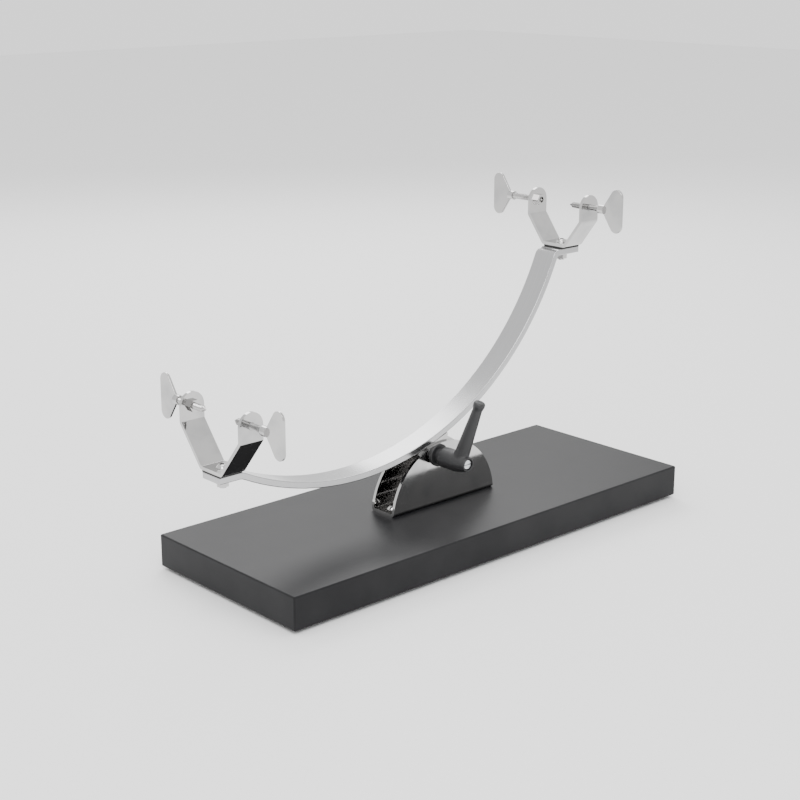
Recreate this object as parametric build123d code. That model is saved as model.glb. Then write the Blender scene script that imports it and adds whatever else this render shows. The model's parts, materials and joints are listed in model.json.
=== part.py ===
"""Ham holder stand: a black board, a half-disc bracket and a curved, tilting arm with two screw clamps.

Frame: millimetres, +Z up, floor at Z = 0. +X runs along the board from the low (rump) clamp to the
high (shank) clamp. The origin is under the middle of the whole stand's bounding box.
"near" is the -Y side, where the locking lever is, and "far" is the +Y side.
"""

import os
from math import atan2, cos, degrees, pi, radians, sin, sqrt

from build123d import *

# ---------------------------------------------------------------- driving dimensions
# Board and feet
board_length = 500.0
board_width = 195.0
board_thickness = 31.0
board_edge_radius = 1.5
foot_radius = 8.0
foot_height = 3.0
foot_inset = 25.0
foot_screw_radius = 1.5
foot_screw_grip = 12.0
foot_screw_head_radius = 3.4
foot_screw_head_height = 1.4
foot_screw_recess = 0.4

# Bracket: a folded channel whose two side plates are half-discs
bracket_length = 132.0
bracket_height = 61.0
bracket_gap = 25.0
bracket_sheet = 3.0
bracket_bend_radius = 0.6
bracket_screw_spacing = 108.0
insert_radius = 4.5
insert_length = 16.0
insert_flange_radius = 5.6
insert_flange_height = 1.2

# Pivot and tilt
pivot_offset = -8.5
pivot_below_top = 11.5
arm_over_bracket = 1.3
rest_slope = 19.1

# Arm: one flat bar rolled to an arc, with a level seat at each end
arm_width = 25.0
arm_thickness = 6.0
arm_radius = 278.0
arm_edge_radius = 0.8
front_seat_rise = 32.0
front_seat_length = 21.4
front_bend_radius = 12.0
rear_seat_rise = 172.8
rear_seat_length = 27.0
rear_bend_radius = 8.0

# Saddle: an inverted channel welded under the arm that carries the pivot
saddle_sheet = 2.0
saddle_length = 40.0
saddle_side_play = 0.3
saddle_nose_radius = 9.5
bush_radius = 7.0

# Locking lever
stud_radius = 4.0
running_fit = 0.05
collar_radius = 11.0
collar_height = 1.8
collar_edge_radius = 0.8
neck_radius = 7.4
neck_height = 4.7
insert_collar_height = 1.0
spline_teeth = 16
insert_wall = 2.6
spline_tooth_depth = 0.8
spline_length = 5.5
spline_play = 0.25
spline_grip = 3.2
spigot_wall = 0.6
spigot_length = 5.0
lever_lift = 3.5
hub_radius = 10.0
hub_length = 33.0
hub_taper_start = 18.0
hub_end_radius = 6.9
hub_end_bore = 5.2
hub_shoulder_height = 3.0
lever_reach = 60.8
lever_base_along = 20.2
lever_lean_out = 19.0
lever_lean_side = 7.4
lever_base_radius = 7.6
lever_neck_radius = 4.6
lever_bulb_radius = 5.6
lever_bulb_length = 8.0
lever_screw_radius = 2.5
lever_screw_head_radius = 4.2
lever_screw_head_height = 3.2
lever_screw_head_sink = 1.8
spring_wire_radius = 0.5
spring_turns = 5.0
lever_end_play = 0.3

# Clamps: bent straps of one sheet, with a pair of wing screws each
clamp_width = 24.0
clamp_sheet = 3.0
clamp_base = 30.0
clamp_bend_radius = 1.2
clamp_pad_thickness = 1.5
front_clamp_spread = 28.3
front_clamp_flange = 34.9
front_clamp_hole = 49.2
rear_clamp_spread = 20.5
rear_clamp_flange = 27.0
rear_clamp_hole = 41.3

# Metric fasteners
m6_radius = 3.0
m6_head_radius = 5.25
m6_head_height = 3.3
m6_across_flats = 10.0
m6_nut_height = 5.0
m6_washer_radius = 6.0
m6_washer_height = 1.2
m8_across_flats = 13.0
m8_nut_height = 6.5
socket_across_flats = 4.0
socket_depth = 2.0
hole_play = 0.3
thread_end = 1.5

# Wing screws
weld_nut_height = 4.0
wing_screw_length = 38.0
wing_screw_point = 4.0
wing_socket_depth = 3.0
wing_boss_radius = 4.4
wing_boss_length = 6.5
wing_blade_start = 4.0
wing_length = 28.3
wing_half_span = 21.0
wing_lobe_radius = 7.2
wing_root_half = 5.0
wing_thickness = 2.5
wing_edge_radius = 0.5
front_near_standoff = 15.5
front_far_standoff = 15.5
rear_near_standoff = 12.7
rear_far_standoff = 30.2

# ---------------------------------------------------------------- layout worked out from the above
board_bottom = foot_height
board_top = board_bottom + board_thickness
plate_outer = bracket_gap / 2 + bracket_sheet
disc_radius = ((bracket_length / 2) ** 2 + bracket_height**2) / (2 * bracket_height)
disc_center_z = board_top + bracket_height - disc_radius
pivot_z = board_top + bracket_height - pivot_below_top
pivot_to_arm = pivot_below_top + arm_over_bracket

slope = radians(rest_slope)
mid_radius = arm_radius + arm_thickness / 2
arc_reach = arm_radius + arm_thickness + pivot_to_arm
arc_z = pivot_z + arc_reach * cos(slope)
arc_bottom = arc_z - mid_radius
front_mid_z = arc_bottom + front_seat_rise
rear_mid_z = arc_bottom + rear_seat_rise


def bend_offset(seat_z, bend_radius):
    """Horizontal distance from the arc's centre to the centre of the bend that levels the bar."""
    drop = arc_z - seat_z + bend_radius
    return sqrt((mid_radius + bend_radius) ** 2 - drop**2)


front_bend_offset = bend_offset(front_mid_z, front_bend_radius)
rear_bend_offset = bend_offset(rear_mid_z, rear_bend_radius)

# The stand is centred on its own length: from the arm's front tip to the board's rear end.
front_reach = arc_reach * sin(slope) + front_bend_offset + front_seat_length - pivot_offset
board_x = (front_reach - board_length / 2) / 2
pivot_x = board_x + pivot_offset
arc_x = pivot_x - arc_reach * sin(slope)
front_end_x = arc_x - front_bend_offset - front_seat_length
rear_end_x = arc_x + rear_bend_offset + rear_seat_length
front_clamp_x = front_end_x + clamp_width / 2
rear_clamp_x = rear_end_x - clamp_width / 2
front_seat_top = front_mid_z + arm_thickness / 2
rear_seat_top = rear_mid_z + arm_thickness / 2


# ---------------------------------------------------------------- helpers
def at(x, y, z):
    return Pos(x, y, z)


def disc(radius, height, x=0.0, y=0.0, z=0.0):
    """Upright cylinder standing on (x, y, z)."""
    return at(x, y, z) * Cylinder(radius, height, align=(Align.CENTER, Align.CENTER, Align.MIN))


def rod_y(radius, y0, y1, x, z):
    """Cylinder along Y from y0 to y1."""
    middle = at(x, (y0 + y1) / 2, z) * Rot(90, 0, 0)
    return middle * Cylinder(radius, abs(y1 - y0))


def hexagon(across_flats, height, radius=0.0):
    """Hexagonal prism standing on the origin, with a bore if a radius is given."""
    body = extrude(RegularPolygon(across_flats / 2, 6, major_radius=False), height)
    if radius:
        body -= disc(radius, height)
    return body


def button_screw(radius, head_radius, head_height, shank):
    """Low domed socket screw. The seat of the head is at the origin and the shank points down."""
    dome = (head_radius**2 + head_height**2) / (2 * head_height)
    head = disc(head_radius, head_height) & at(0, 0, head_height - dome) * Sphere(dome)
    head -= at(0, 0, head_height - socket_depth) * hexagon(socket_across_flats, socket_depth)
    return head + disc(radius, shank, z=-shank)


def outwards_y(side):
    """Placement whose local +Z runs along -Y (side = -1) or +Y (side = +1)."""
    return Rot(90, 0, 0) if side < 0 else Rot(-90, 0, 0)


def export(name, *solids):
    shape = solids[0] if len(solids) == 1 else Compound(children=list(solids))
    shape.label = name
    export_step(shape, f"parts/{name}.step")


# ---------------------------------------------------------------- board
foot_spots = [
    (board_x + sx * (board_length / 2 - foot_inset), sy * (board_width / 2 - foot_inset))
    for sx in (-1, 1)
    for sy in (-1, 1)
]
bracket_screw_spots = [(board_x + sx * bracket_screw_spacing / 2, 0.0) for sx in (-1, 1)]
foot_head_z = foot_screw_recess + foot_screw_head_height


def make_board():
    block = at(board_x, 0, board_bottom + board_thickness / 2) * Box(board_length, board_width, board_thickness)
    block = fillet(block.edges(), board_edge_radius)
    for x, y in bracket_screw_spots:
        block -= disc(insert_radius, insert_length, x, y, board_top - insert_length)
        block -= disc(insert_flange_radius, insert_flange_height, x, y, board_top - insert_flange_height)
    for x, y in foot_spots:
        block -= disc(foot_screw_radius, foot_screw_grip, x, y, board_bottom)
    return block


def make_foot(x, y):
    foot = disc(foot_radius, foot_height, x, y)
    foot = fillet(foot.edges().sort_by(Axis.Z)[0], 0.6)
    foot -= disc(foot_screw_head_radius + hole_play, foot_head_z, x, y)
    return foot - disc(foot_screw_radius, foot_height, x, y)


def make_foot_screw(x, y):
    head = disc(foot_screw_head_radius, foot_screw_head_height, x, y, foot_screw_recess)
    return head + disc(foot_screw_radius, foot_height + foot_screw_grip - foot_head_z, x, y, foot_head_z)


def make_insert(x, y):
    insert = disc(insert_radius, insert_length, x, y, board_top - insert_length)
    insert += disc(insert_flange_radius, insert_flange_height, x, y, board_top - insert_flange_height)
    return insert - disc(m6_radius, insert_length, x, y, board_top - insert_length)


# ---------------------------------------------------------------- bracket
def make_bracket():
    outer = Rectangle(2 * plate_outer, bracket_height, align=(Align.CENTER, Align.MIN))
    inner_height = bracket_height - bracket_sheet
    inner = Pos(0, bracket_sheet) * Rectangle(bracket_gap, inner_height, align=(Align.CENTER, Align.MIN))
    outer = fillet(outer.vertices().sort_by(Axis.Y)[:2], bracket_bend_radius + bracket_sheet)
    inner = fillet(inner.vertices().sort_by(Axis.Y)[:2], bracket_bend_radius)
    section = Plane.YZ * (outer - inner)
    channel = at(board_x - bracket_length / 2, 0, board_top) * extrude(section, bracket_length, dir=(1, 0, 0))
    channel &= rod_y(disc_radius, -plate_outer, plate_outer, board_x, disc_center_z)
    channel -= rod_y(stud_radius + running_fit, -plate_outer, plate_outer, pivot_x, pivot_z)
    for x, y in bracket_screw_spots:
        channel -= disc(m6_radius + hole_play, bracket_sheet, x, y, board_top)
    return channel


def make_bracket_screw(x, y):
    shank = bracket_sheet + insert_length - thread_end
    return at(x, y, board_top + bracket_sheet) * button_screw(m6_radius, m6_head_radius, m6_head_height, shank)


def make_pivot_nut():
    nut = hexagon(m8_across_flats, m8_nut_height, stud_radius + running_fit)
    return at(pivot_x, plate_outer, pivot_z) * outwards_y(1) * nut


# ---------------------------------------------------------------- arm
def arm_edge(offset):
    """Side line of the bar, offset from its middle: level seat, bend, long arc, bend, level seat."""
    front_z = front_mid_z - front_bend_radius
    rear_z = rear_mid_z - rear_bend_radius
    front_x = arc_x - front_bend_offset
    rear_x = arc_x + rear_bend_offset
    front_turn = degrees(atan2(arc_z - front_z, front_bend_offset))
    rear_turn = degrees(atan2(arc_z - rear_z, rear_bend_offset))
    return [
        Line((front_end_x, front_mid_z + offset), (front_x, front_mid_z + offset)),
        CenterArc((front_x, front_z), front_bend_radius + offset, front_turn, 90 - front_turn),
        CenterArc((arc_x, arc_z), mid_radius - offset, 180 + front_turn, 180 - front_turn - rear_turn),
        CenterArc((rear_x, rear_z), rear_bend_radius + offset, 90, 90 - rear_turn),
        Line((rear_x, rear_mid_z + offset), (rear_end_x, rear_mid_z + offset)),
    ]


def make_arm():
    half = arm_thickness / 2
    ends = [
        Line((x, z - half), (x, z + half)) for x, z in ((front_end_x, front_mid_z), (rear_end_x, rear_mid_z))
    ]
    outline = make_face(Curve() + arm_edge(half) + arm_edge(-half) + ends)
    bar = extrude(Plane.XZ * outline, arm_width / 2, both=True)
    bar = fillet(bar.edges(), arm_edge_radius)
    for x, z in ((front_clamp_x, front_mid_z), (rear_clamp_x, rear_mid_z)):
        bar -= disc(m6_radius + hole_play, arm_thickness, x, 0, z - half)
    return bar


# ---------------------------------------------------------------- saddle and pivot bush
tilt = Pos(pivot_x, 0, pivot_z) * Rot(0, -rest_slope, 0)
saddle_half_width = bracket_gap / 2 - saddle_side_play
saddle_top = pivot_to_arm


def make_saddle():
    nose = Circle(saddle_nose_radius)
    deck = Pos(0, saddle_top - saddle_sheet / 2) * Rectangle(saddle_length, saddle_sheet)
    cheek = extrude(Plane.XZ * make_hull(nose.edges() + deck.edges()), saddle_half_width, both=True)
    inside = 2 * (saddle_half_width - saddle_sheet)
    height = saddle_top - saddle_sheet + saddle_nose_radius
    cheek -= at(0, 0, saddle_top - saddle_sheet - height / 2) * Box(saddle_length, inside, height)
    cheek = tilt * cheek
    cheek -= rod_y(arm_radius + arm_thickness, -saddle_half_width, saddle_half_width, arc_x, arc_z)
    return cheek - rod_y(stud_radius + running_fit, -saddle_half_width, saddle_half_width, pivot_x, pivot_z)


def make_bush():
    half = saddle_half_width - saddle_sheet
    tube = rod_y(bush_radius, -half, half, pivot_x, pivot_z)
    return tube - rod_y(stud_radius + running_fit, -half, half, pivot_x, pivot_z)


# ---------------------------------------------------------------- locking lever
# Distances "along" are measured outwards from the near plate's outer face.
insert_base = collar_height + neck_height
spline_base = insert_base + insert_collar_height
spline_end = spline_base + spline_length
spigot_end = spline_end + spigot_length
hub_base = insert_base + insert_collar_height + lever_end_play
hub_end = hub_base + hub_length
shoulder_base = spigot_end + lever_end_play
shoulder_end = shoulder_base + hub_shoulder_height
screw_head_base = hub_end - lever_screw_head_sink - lever_screw_head_height
stud_far_end = plate_outer + m8_nut_height + thread_end
spline_root_radius = stud_radius + insert_wall
spline_tip_radius = spline_root_radius + spline_tooth_depth
spigot_radius = stud_radius + spigot_wall
on_near_plate = Pos(pivot_x, -plate_outer, pivot_z) * outwards_y(-1)


def star(root_radius, tip_radius, height):
    """Splined bar: a prism whose outline runs from root to tip and back once per tooth."""
    points = []
    for step in range(2 * spline_teeth):
        radius = tip_radius if step % 2 else root_radius
        angle = pi * step / spline_teeth
        points.append((radius * cos(angle), radius * sin(angle)))
    return extrude(make_face(Polyline(*points, close=True)), height)


def make_stud():
    near_end = plate_outer + spline_end
    return rod_y(stud_radius, -near_end, stud_far_end, pivot_x, pivot_z)


def make_collar():
    collar = disc(collar_radius, collar_height)
    collar = fillet(collar.edges().sort_by(Axis.Z)[-1], collar_edge_radius)
    collar += disc(neck_radius, neck_height, z=collar_height)
    return on_near_plate * (collar - disc(stud_radius + running_fit, insert_base))


def make_lever_insert():
    insert = disc(spline_tip_radius, insert_collar_height, z=insert_base)
    insert += at(0, 0, spline_base) * star(spline_root_radius, spline_tip_radius, spline_length)
    insert += disc(spigot_radius, spigot_length, z=spline_end)
    insert -= disc(stud_radius, insert_collar_height + spline_length, z=insert_base)
    return on_near_plate * (insert - disc(lever_screw_radius, spigot_length, z=spline_end))


def make_handle():
    """Tapered round handle with a slightly wider, rounded end. It leans outwards and to one side."""
    path = Vector(lever_lean_side, lever_reach, lever_lean_out)
    taper_end = path.length - lever_bulb_length
    outline = [
        (0, 0),
        (lever_base_radius, 0),
        (lever_neck_radius, taper_end),
        (lever_bulb_radius, taper_end + lever_bulb_length / 2),
        (lever_bulb_radius, path.length),
        (0, path.length),
    ]
    handle = revolve(make_face(Plane.XZ * Polyline(*outline, close=True)), Axis.Z)
    handle = fillet(handle.edges().sort_by(Axis.Z)[-1], lever_bulb_radius / 3)
    return Plane(origin=(0, 0, hub_base + lever_base_along), z_dir=path).location * handle


def make_lever():
    profile = [
        (0, hub_base),
        (hub_radius, hub_base),
        (hub_radius, hub_base + hub_taper_start),
        (hub_end_radius, hub_end),
        (0, hub_end),
    ]
    hub = revolve(make_face(Plane.XZ * Polyline(*profile, close=True)), Axis.Z)
    hub = fillet(hub.edges().filter_by(GeomType.CIRCLE), 1.0)
    grip_end = spline_end + spline_play
    grip_base = grip_end - spline_grip
    cavity = disc(spline_tip_radius + 2 * spline_play, grip_base - hub_base, z=hub_base)
    spline = star(spline_root_radius + spline_play, spline_tip_radius + spline_play, spline_grip)
    cavity += at(0, 0, grip_base) * spline
    cavity += disc(spigot_radius + spline_play, shoulder_base - grip_end, z=grip_end)
    cavity += disc(lever_screw_radius + spline_play, hub_shoulder_height, z=shoulder_base)
    cavity += disc(hub_end_bore, hub_end - shoulder_end, z=shoulder_end)
    return on_near_plate * (hub + make_handle() - cavity)


def make_lever_screw():
    screw = disc(lever_screw_radius, screw_head_base - spline_end, z=spline_end)
    head = disc(lever_screw_head_radius, lever_screw_head_height, z=screw_head_base)
    slot_z = screw_head_base + lever_screw_head_height
    head -= at(0, 0, slot_z) * Box(2 * lever_screw_head_radius, 1.2, 2.4)
    return on_near_plate * (screw + head)


def make_lever_spring():
    radius = hub_end_bore - spring_wire_radius - spline_play
    height = screw_head_base - shoulder_end - 2 * spring_wire_radius
    coil = Helix(height / spring_turns, height, radius)
    wire = sweep(Plane(coil @ 0, z_dir=coil % 0) * Circle(spring_wire_radius), path=coil)
    return on_near_plate * at(0, 0, shoulder_end + spring_wire_radius) * wire


# ---------------------------------------------------------------- clamps
def clamp_section(outside, flange, top):
    """Side view of the bent strap: level base, two sloping flanges and two upright tabs."""
    half = clamp_base / 2
    turn = atan2(flange, outside - half)
    step_in = clamp_sheet * (1 - cos(turn)) / sin(turn)
    step_up = clamp_sheet * (1 - sin(turn)) / cos(turn)
    outer = [(half, 0), (outside, flange)]
    ends = [(outside, top), (outside - clamp_sheet, top)]
    inner = [(outside - clamp_sheet, flange + step_up), (half - step_in, clamp_sheet)]
    side = outer + ends + inner
    section = make_face(Polyline(*side, *[(-y, z) for y, z in reversed(side)], close=True))
    for points, radius in ((outer, clamp_bend_radius + clamp_sheet), (inner, clamp_bend_radius)):
        for y, z in points:
            corners = [section.vertices().sort_by_distance((sy * y, z))[0] for sy in (-1, 1)]
            section = fillet(corners, radius)
    return section


def make_clamp(x, z, outside, flange, hole_height):
    section = Plane.YZ * clamp_section(outside, flange, hole_height + clamp_width / 2)
    strap = extrude(section, clamp_width / 2, both=True)
    face = Pos(0, hole_height) * Circle(clamp_width / 2)
    face += Rectangle(clamp_width, hole_height, align=(Align.CENTER, Align.MIN))
    strap &= extrude(Plane.XZ * face, outside, both=True)
    strap -= rod_y(m6_radius + hole_play, -outside, outside, 0, hole_height)
    strap -= disc(m6_radius + hole_play, clamp_sheet)
    return at(x, 0, z) * strap


def make_clamp_pad(x, z):
    pad = at(x, 0, z + clamp_pad_thickness / 2) * Box(clamp_width, arm_width, clamp_pad_thickness)
    return pad - disc(m6_radius + hole_play, clamp_pad_thickness, x, 0, z)


def make_clamp_screw(x, seat_top):
    grip = clamp_sheet + clamp_pad_thickness + arm_thickness
    shank = grip + m6_washer_height + m6_nut_height + thread_end
    seat = seat_top + clamp_pad_thickness + clamp_sheet
    return at(x, 0, seat) * button_screw(m6_radius, m6_head_radius, m6_head_height, shank)


def make_clamp_washer(x, seat_top):
    z = seat_top - arm_thickness - m6_washer_height
    return disc(m6_washer_radius, m6_washer_height, x, 0, z) - disc(m6_radius, m6_washer_height, x, 0, z)


def make_clamp_nut(x, seat_top):
    z = seat_top - arm_thickness - m6_washer_height - m6_nut_height
    return at(x, 0, z) * hexagon(m6_across_flats, m6_nut_height, m6_radius)


def make_weld_nuts(x, z, outside):
    inner_face = outside - clamp_sheet
    nut = hexagon(m6_across_flats, weld_nut_height, m6_radius + running_fit)
    return [at(x, side * (inner_face - weld_nut_height), z) * outwards_y(side) * nut for side in (-1, 1)]


# ---------------------------------------------------------------- wing screws
def make_screw_rod(x, z, outside, side, standoff):
    """Pointed rod. Its outer end sits in the wing's socket."""
    length = wing_screw_length + wing_socket_depth
    rod = Cylinder(m6_radius, length - wing_screw_point, align=(Align.CENTER, Align.CENTER, Align.MAX))
    point = Cone(0.6, m6_radius, wing_screw_point, align=(Align.CENTER, Align.CENTER, Align.MIN))
    rod += at(0, 0, -length) * point
    root = outside + standoff
    return at(x, side * (root + wing_socket_depth), z) * outwards_y(side) * rod


def make_wing(x, z, outside, side, standoff):
    """Flat two-lobed wing with a round boss at its root. It stands upright at rest."""
    lobe_y = wing_half_span - wing_lobe_radius
    lobe_x = wing_length - wing_lobe_radius
    root = Pos(wing_blade_start + wing_root_half, 0) * Circle(wing_root_half)
    lobes = [Pos(lobe_x, sy * lobe_y) * Circle(wing_lobe_radius) for sy in (-1, 1)]
    blade = make_hull(root.edges() + lobes[0].edges() + lobes[1].edges())
    blade = extrude(blade, wing_thickness / 2, both=True)
    blade = fillet(blade.edges().filter_by(Plane.XY), wing_edge_radius)
    wing = Rot(0, -90, 0) * blade
    wing += disc(wing_boss_radius, wing_boss_length)
    wing -= disc(m6_radius + running_fit, wing_socket_depth + running_fit)
    return at(x, side * (outside + standoff), z) * outwards_y(side) * wing


# ---------------------------------------------------------------- build and export
def build_all():
    os.makedirs("parts", exist_ok=True)
    export("base_board", make_board())
    export("rubber_feet", *[make_foot(x, y) for x, y in foot_spots])
    export("foot_screws", *[make_foot_screw(x, y) for x, y in foot_spots])
    export("board_inserts", *[make_insert(x, y) for x, y in bracket_screw_spots])
    export("bracket", make_bracket())
    export("bracket_screws", *[make_bracket_screw(x, y) for x, y in bracket_screw_spots])
    export("pivot_nut", make_pivot_nut())
    export("arm_bar", make_arm())
    export("saddle", make_saddle())
    export("pivot_bush", make_bush())
    export("clamp_stud", make_stud())
    export("lever_collar", make_collar())
    export("lever_insert", make_lever_insert())
    export("lever_handle", make_lever())
    export("lever_screw", make_lever_screw())
    export("lever_spring", make_lever_spring())
    clamps = {
        "front": (front_clamp_x, front_seat_top, front_clamp_spread, front_clamp_flange, front_clamp_hole),
        "rear": (rear_clamp_x, rear_seat_top, rear_clamp_spread, rear_clamp_flange, rear_clamp_hole),
    }
    standoffs = {
        "front": {"near": front_near_standoff, "far": front_far_standoff},
        "rear": {"near": rear_near_standoff, "far": rear_far_standoff},
    }
    for end, (x, seat_top, spread, flange, hole_height) in clamps.items():
        outside = clamp_base / 2 + spread
        base_z = seat_top + clamp_pad_thickness
        hole_z = base_z + hole_height
        export(f"{end}_clamp", make_clamp(x, base_z, outside, flange, hole_height))
        export(f"{end}_clamp_pad", make_clamp_pad(x, seat_top))
        export(f"{end}_clamp_screw", make_clamp_screw(x, seat_top))
        export(f"{end}_clamp_washer", make_clamp_washer(x, seat_top))
        export(f"{end}_clamp_nut", make_clamp_nut(x, seat_top))
        export(f"{end}_weld_nuts", *make_weld_nuts(x, hole_z, outside))
        for side, name in ((-1, "near"), (1, "far")):
            standoff = standoffs[end][name]
            export(f"{end}_{name}_rod", make_screw_rod(x, hole_z, outside, side, standoff))
            export(f"{end}_{name}_wing", make_wing(x, hole_z, outside, side, standoff))
    print(f"pivot x {pivot_x:.2f} z {pivot_z:.2f}, board x {board_x:.2f}, arc {arc_x:.2f} {arc_z:.2f}")


build_all()
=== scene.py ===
"""Looks for the ham holder stand: black lacquered board, polished steel arm and clamps, black locking lever.

Metres, +Z up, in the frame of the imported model. +X runs from the low clamp to the high one.
"""

import json
from math import cos, pi, radians, sin

import bmesh
import bpy
from mathutils import Matrix, Vector


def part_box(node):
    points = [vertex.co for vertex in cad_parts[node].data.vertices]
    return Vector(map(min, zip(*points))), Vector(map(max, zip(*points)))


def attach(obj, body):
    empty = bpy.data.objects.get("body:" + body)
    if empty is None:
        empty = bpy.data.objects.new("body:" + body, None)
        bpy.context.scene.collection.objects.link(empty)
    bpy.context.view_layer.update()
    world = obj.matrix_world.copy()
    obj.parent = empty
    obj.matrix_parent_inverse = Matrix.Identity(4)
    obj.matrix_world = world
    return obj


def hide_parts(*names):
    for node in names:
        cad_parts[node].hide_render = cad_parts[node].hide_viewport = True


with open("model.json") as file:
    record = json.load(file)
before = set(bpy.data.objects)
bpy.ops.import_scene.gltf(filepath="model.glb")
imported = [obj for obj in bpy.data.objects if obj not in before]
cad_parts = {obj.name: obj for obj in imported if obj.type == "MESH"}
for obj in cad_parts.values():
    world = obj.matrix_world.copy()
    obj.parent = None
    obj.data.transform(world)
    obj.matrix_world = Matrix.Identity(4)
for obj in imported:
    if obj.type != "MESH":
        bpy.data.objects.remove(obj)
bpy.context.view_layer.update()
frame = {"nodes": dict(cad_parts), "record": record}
MM = 0.001


# ---------------------------------------------------------------- camera
CAMERA_FROM_BOARD = Vector((-0.99331, -1.04393, 0.55351))
CAMERA_AZIMUTH = -42.289
CAMERA_ELEVATION = 16.392
LENS = 71.16
SENSOR = 36.0


def make_camera():
    """Camera placed from the middle of the board's underside."""
    low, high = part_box("base_board")
    board_middle = Vector(((low.x + high.x) / 2, (low.y + high.y) / 2, low.z))
    a, e = radians(CAMERA_AZIMUTH), radians(CAMERA_ELEVATION)
    back = Vector((sin(a) * cos(e), -cos(a) * cos(e), sin(e)))
    data = bpy.data.cameras.new("camera")
    data.lens = LENS
    data.sensor_width = SENSOR
    camera = bpy.data.objects.new("camera", data)
    camera.location = board_middle + CAMERA_FROM_BOARD
    camera.rotation_mode = "QUATERNION"
    camera.rotation_quaternion = (-back).to_track_quat("-Z", "Y")
    bpy.context.scene.collection.objects.link(camera)
    bpy.context.scene.camera = camera


# ---------------------------------------------------------------- shader arithmetic
class Field:
    """A value that changes over a surface. Plain arithmetic on it adds Math nodes."""

    def __init__(self, finish, socket):
        self.finish = finish
        self.socket = socket

    def math(self, operation, *values):
        inputs = dict(enumerate(values))
        return self.finish.add("ShaderNodeMath", {"operation": operation}, inputs)

    def __add__(self, other):
        return self.math("ADD", self, other)

    def __radd__(self, other):
        return self.math("ADD", other, self)

    def __rsub__(self, other):
        return self.math("SUBTRACT", other, self)

    def __rmul__(self, other):
        return self.math("MULTIPLY", other, self)


class Finish:
    """One material, built from the object's own coordinates."""

    def __init__(self, name, metallic=0.0, coat=0.0, coat_roughness=0.1):
        self.material = bpy.data.materials.new(name)
        self.material.use_nodes = True
        self.tree = self.material.node_tree
        self.shader = self.tree.nodes["Principled BSDF"]
        self.set("Metallic", metallic)
        self.set("Coat Weight", coat)
        self.set("Coat Roughness", coat_roughness)
        self.place = self.add("ShaderNodeTexCoord", {}, {}, "Object")

    def add(self, kind, settings, values, output=0):
        """Adds a node, sets it up, fills or links its sockets, and gives one output."""
        node = self.tree.nodes.new(kind)
        for name, value in settings.items():
            setattr(node, name, value)
        for key, value in values.items():
            self.fill(node.inputs[key], value)
        return Field(self, node.outputs[output])

    def fill(self, socket, value):
        if isinstance(value, Field):
            self.tree.links.new(value.socket, socket)
        else:
            socket.default_value = value

    def set(self, name, value):
        self.fill(self.shader.inputs[name], value)

    def noise(self, scale, detail=2.0, stretch=(1.0, 1.0, 1.0)):
        """Noise from 0 to 1. Scale is in grains per metre, and stretch makes it finer along an axis."""
        vector = self.add("ShaderNodeMapping", {}, {"Vector": self.place, "Scale": stretch})
        return self.add("ShaderNodeTexNoise", {}, {"Vector": vector, "Scale": scale, "Detail": detail}, "Fac")

    def between(self, field, low, high):
        """Stretches the part of a field from low to high over 0 to 1, softly."""
        values = {"Value": field, "From Min": low, "From Max": high}
        return self.add("ShaderNodeMapRange", {"interpolation_type": "SMOOTHSTEP"}, values)

    def mix(self, share, first, second):
        """Colour from first to second."""
        factor, first_colour, second_colour, colour_out = 0, 6, 7, 2
        values = {factor: share, first_colour: (*first, 1.0), second_colour: (*second, 1.0)}
        return self.add("ShaderNodeMix", {"data_type": "RGBA"}, values, colour_out)

    def bump(self, height, depth, strength=1.0):
        """Relief of a given depth in metres."""
        values = {"Height": height, "Distance": depth, "Strength": strength}
        self.set("Normal", self.add("ShaderNodeBump", {}, values))


# ---------------------------------------------------------------- finishes
def board_lacquer():
    """Satin black lacquer over board: a faint orange peel, a few dust specks and hand marks."""
    f = Finish("board_lacquer", coat=0.03, coat_roughness=0.25)
    f.set("Specular IOR Level", 0.12)
    cloud = f.noise(14, 3)
    speck = f.between(f.noise(900, 1), 0.74, 0.8)
    f.set("Base Color", f.mix(f.between(cloud, 0.3, 0.7), (0.010, 0.010, 0.011), (0.017, 0.017, 0.018)))
    f.set("Roughness", 0.36 + 0.06 * cloud + 0.14 * speck)
    f.bump(f.noise(420, 2) + 0.15 * f.noise(1800, 1), 0.00004, 0.5)
    return f.material


def polished_steel():
    """Mirror-polished stainless sheet: fine wheel marks and a faint bloom."""
    f = Finish("polished_steel", metallic=1.0)
    bloom = f.between(f.noise(38, 3), 0.42, 0.72)
    marks = f.noise(260, 4, (1.0, 1.0, 7.0))
    f.set("Base Color", f.mix(bloom, (0.52, 0.515, 0.51), (0.43, 0.43, 0.43)))
    f.set("Roughness", 0.05 + 0.05 * bloom + 0.05 * marks)
    f.bump(marks, 0.000004, 0.4)
    return f.material


def rolled_steel():
    """The arm's flat bar: polished, with fine lines along its length and softer than the clamps."""
    f = Finish("rolled_steel", metallic=1.0)
    lines = f.noise(10, 3, (1.0, 160.0, 1.0))
    bloom = f.between(f.noise(26, 3), 0.35, 0.75)
    f.set("Base Color", f.mix(lines, (0.50, 0.50, 0.505), (0.42, 0.42, 0.425)))
    f.set("Roughness", 0.13 + 0.08 * lines + 0.05 * bloom)
    f.bump(lines, 0.000006, 0.5)
    return f.material


def zinc_steel():
    """Bright zinc plating, slightly mottled."""
    f = Finish("zinc_steel", metallic=1.0)
    mottle = f.noise(700, 3)
    f.set("Base Color", f.mix(mottle, (0.66, 0.67, 0.70), (0.54, 0.55, 0.55)))
    f.set("Roughness", 0.22 + 0.16 * mottle)
    f.bump(mottle, 0.00001, 0.4)
    return f.material


def spring_steel():
    """Drawn wire with dark die lines."""
    f = Finish("spring_steel", metallic=1.0)
    lines = f.noise(1500, 2)
    f.set("Base Color", f.mix(lines, (0.48, 0.48, 0.50), (0.34, 0.34, 0.36)))
    f.set("Roughness", 0.25 + 0.15 * lines)
    return f.material


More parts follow.
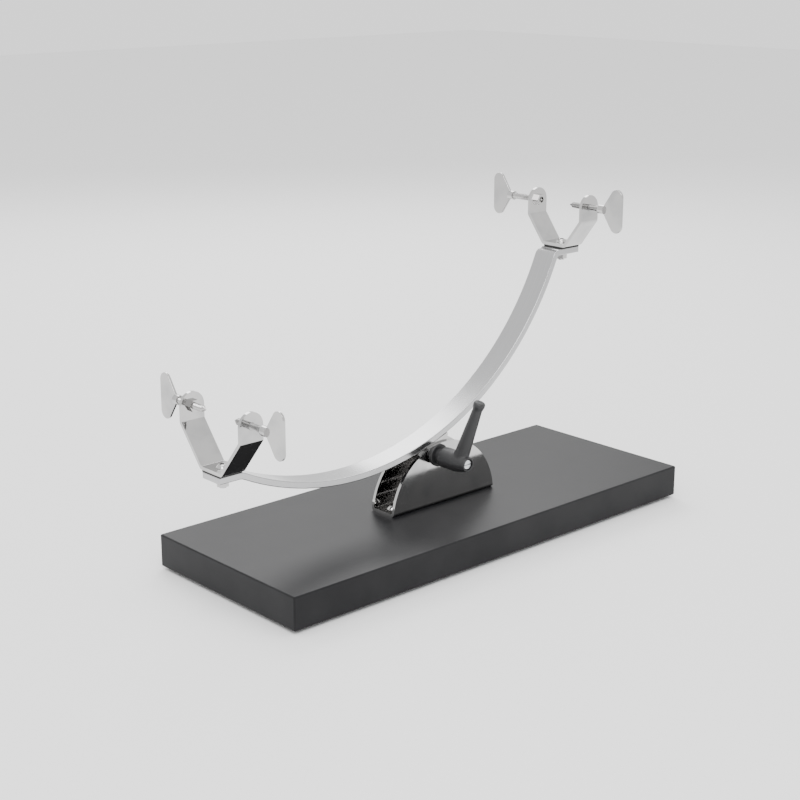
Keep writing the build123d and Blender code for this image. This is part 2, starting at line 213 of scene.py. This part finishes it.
def black_plastic():
    """Glass-filled moulded plastic: fine grain with worn, slightly glossier patches."""
    f = Finish("black_plastic")
    worn = f.between(f.noise(55, 3), 0.45, 0.75)
    grain = f.noise(2400, 2)
    f.set("Base Color", f.mix(worn, (0.014, 0.014, 0.015), (0.024, 0.024, 0.025)))
    f.set("Roughness", 0.46 - 0.10 * worn + 0.06 * grain)
    f.bump(grain, 0.00005, 0.35)
    return f.material


def black_rubber():
    """Matt rubber with a dusty bloom."""
    f = Finish("black_rubber")
    dust = f.between(f.noise(160, 4), 0.4, 0.8)
    f.set("Base Color", f.mix(dust, (0.012, 0.012, 0.012), (0.035, 0.034, 0.033)))
    f.set("Roughness", 0.70 + 0.18 * dust)
    f.bump(f.noise(3000, 2), 0.00004, 0.5)
    return f.material


def studio_floor():
    """Pale seamless paper with a barely visible tooth."""
    f = Finish("studio_floor")
    tooth = f.noise(300, 2)
    f.set("Base Color", f.mix(tooth, (0.90, 0.90, 0.90), (0.93, 0.93, 0.93)))
    f.set("Roughness", 0.85 + 0.1 * tooth)
    return f.material


# ---------------------------------------------------------------- helpers for new pieces
def as_piece(name, mesh_maker, body, material, replaced):
    """Puts a finished bmesh into the scene in place of a CAD node."""
    mesh = bpy.data.meshes.new(name)
    mesh_maker.to_mesh(mesh)
    mesh_maker.free()
    piece = bpy.data.objects.new(name, mesh)
    bpy.context.scene.collection.objects.link(piece)
    mesh.materials.append(material)
    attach(piece, body)
    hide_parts(replaced)
    return piece


# ---------------------------------------------------------------- wing screws' rods
THREAD_PITCH = 1.0 * MM
THREAD_DEPTH = 0.5 * MM
POINT_LENGTH = 4.0 * MM
POINT_TIP_RADIUS = 0.6 * MM
STEPS_PER_TURN = 24
SPARE_TURNS = 3
THREAD_SEAM = THREAD_PITCH / 200


def close_ends(bm):
    edges = [e for e in bm.edges if e.is_boundary]
    bmesh.ops.holes_fill(bm, edges=edges, sides=0)


def make_rod(end, side, material):
    """Rod with a real helical thread and a turned point at its inner end."""
    node = f"{end}_{side}_rod"
    low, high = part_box(node)
    radius = (high.x - low.x) / 2
    root = radius - THREAD_DEPTH
    length = high.y - low.y - POINT_LENGTH
    bm = bmesh.new()
    profile = [(radius, 0.1), (radius, 0.3), (root, 0.7), (root, 0.9), (radius, 1.1)]
    points = [bm.verts.new((r, 0, (share - 1) * THREAD_PITCH)) for r, share in profile]
    edges = [bm.edges.new(pair) for pair in zip(points, points[1:])]
    turns = round(length / THREAD_PITCH) + SPARE_TURNS
    bmesh.ops.spin(
        bm,
        geom=points + edges,
        cent=(0, 0, 0),
        axis=(0, 0, 1),
        dvec=(0, 0, THREAD_PITCH / STEPS_PER_TURN),
        angle=2 * pi * turns,
        steps=STEPS_PER_TURN * turns,
    )
    bmesh.ops.translate(bm, verts=bm.verts, vec=(0, 0, -THREAD_PITCH))
    bmesh.ops.remove_doubles(bm, verts=bm.verts, dist=THREAD_SEAM)
    for height, clear_inner in ((0.0, True), (length, False)):
        geometry = bm.verts[:] + bm.edges[:] + bm.faces[:]
        bmesh.ops.bisect_plane(
            bm,
            geom=geometry,
            plane_co=(0, 0, height),
            plane_no=(0, 0, 1),
            clear_inner=clear_inner,
            clear_outer=not clear_inner,
        )
        close_ends(bm)
    bmesh.ops.create_cone(
        bm,
        cap_ends=True,
        segments=STEPS_PER_TURN,
        radius1=root,
        radius2=POINT_TIP_RADIUS,
        depth=POINT_LENGTH,
        matrix=Matrix.Translation((0, 0, length + POINT_LENGTH / 2)),
    )
    bmesh.ops.recalc_face_normals(bm, faces=bm.faces)
    inwards = 1 if side == "near" else -1
    turn = Matrix.Rotation(-inwards * pi / 2, 4, "X")
    start = Vector(((low.x + high.x) / 2, low.y if side == "near" else high.y, (low.z + high.z) / 2))
    bmesh.ops.transform(bm, matrix=Matrix.Translation(start) @ turn, verts=bm.verts)
    as_piece(f"{end}_{side}_threaded_rod", bm, f"{end}_{side}_screw", material, node)


# ---------------------------------------------------------------- lever handle
HANDLE_VOXEL = 0.5 * MM
HANDLE_SEAM = 0.002 * MM
JUNCTION_REACH = 17.0 * MM
BORE_CLEAR = 6.2 * MM
SKIN_PASSES = 2
JUNCTION_PASSES = 14


def soften(bm, verts, passes):
    for _ in range(passes):
        bmesh.ops.smooth_vert(bm, verts=verts, factor=0.5, use_axis_x=True, use_axis_y=True, use_axis_z=True)


def make_handle(material):
    """Moulded lever: the handle flows into its hub, where the plain solid has a hard corner."""
    source = frame["nodes"]["lever_handle"]
    bm = bmesh.new()
    bm.from_mesh(source.data)
    bmesh.ops.remove_doubles(bm, verts=bm.verts, dist=HANDLE_SEAM)
    piece = as_piece("moulded_lever", bm, "lever", material, "lever_handle")
    remesh = piece.modifiers.new("moulded", "REMESH")
    remesh.mode = "VOXEL"
    remesh.voxel_size = HANDLE_VOXEL
    remesh.use_smooth_shade = True
    graph = bpy.context.evaluated_depsgraph_get()
    dense = bpy.data.meshes.new_from_object(piece.evaluated_get(graph))
    piece.modifiers.clear()
    bm = bmesh.new()
    bm.from_mesh(dense)
    screw_low, screw_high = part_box("lever_screw")
    axis_x, axis_z = (screw_low.x + screw_high.x) / 2, (screw_low.z + screw_high.z) / 2
    soften(bm, bm.verts, SKIN_PASSES)
    junction = []
    for vert in bm.verts:
        across = Vector((vert.co.x - axis_x, vert.co.z - axis_z)).length
        above = vert.co.z - axis_z
        if above > 0 and BORE_CLEAR < across < JUNCTION_REACH and vert.co.y > screw_low.y:
            junction.append(vert)
    soften(bm, junction, JUNCTION_PASSES)
    bm.to_mesh(dense)
    bm.free()
    dense.materials.clear()
    dense.materials.append(material)
    for polygon in dense.polygons:
        polygon.use_smooth = True
    piece.data = dense


# ---------------------------------------------------------------- light and floor
WORLD_STRENGTH = 1.4
FLOOR_HALF_WIDTH = 6.0
LAMPS = (
    # name, location, target, size, energy
    ("key", (-0.9, -1.1, 1.7), (0, 0, 0.15), (1.2, 1.2), 26),
    ("back", (0.9, 1.4, 1.3), (0, 0, 0.15), (1.6, 0.9), 22),
    ("top", (0.0, 0.1, 2.0), (0, 0, 0.1), (1.5, 1.0), 14),
)


def area_light(name, location, target, size, energy):
    data = bpy.data.lights.new(name, "AREA")
    data.shape = "RECTANGLE"
    data.size, data.size_y = size
    data.energy = energy
    lamp = bpy.data.objects.new(name, data)
    lamp.location = location
    lamp.rotation_mode = "QUATERNION"
    lamp.rotation_quaternion = (Vector(target) - Vector(location)).to_track_quat("-Z", "Y")
    bpy.context.scene.collection.objects.link(lamp)


def make_studio():
    world = bpy.data.worlds.new("studio")
    world.use_nodes = True
    sky = world.node_tree.nodes["Background"].inputs
    sky["Color"].default_value = (1.0, 1.0, 1.0, 1.0)
    sky["Strength"].default_value = WORLD_STRENGTH
    bpy.context.scene.world = world
    for lamp in LAMPS:
        area_light(*lamp)
    bm = bmesh.new()
    bmesh.ops.create_grid(bm, x_segments=8, y_segments=8, size=FLOOR_HALF_WIDTH)
    mesh = bpy.data.meshes.new("floor")
    bm.to_mesh(mesh)
    bm.free()
    floor = bpy.data.objects.new("floor", mesh)
    bpy.context.scene.collection.objects.link(floor)
    mesh.materials.append(studio_floor())


# ---------------------------------------------------------------- everything together
SLOT_OF_NODE = {part["node"]: part["material_slot"] for part in frame["record"]["subparts"]}


def dress_nodes(finishes):
    """Gives every CAD node the finish of its material slot. The arm's rolled bar has its own."""
    for name, node in frame["nodes"].items():
        slot_name = "rolled_steel" if name == "arm_bar" else SLOT_OF_NODE[name]
        node.data.materials.clear()
        node.data.materials.append(finishes[slot_name])


make_camera()
finishes = {maker.__name__: maker() for maker in (
    board_lacquer, polished_steel, rolled_steel, zinc_steel, spring_steel, black_plastic, black_rubber,
)}
dress_nodes(finishes)
make_handle(finishes["black_plastic"])
for end in ("front", "rear"):
    for side in ("near", "far"):
        make_rod(end, side, finishes["polished_steel"])
make_studio()
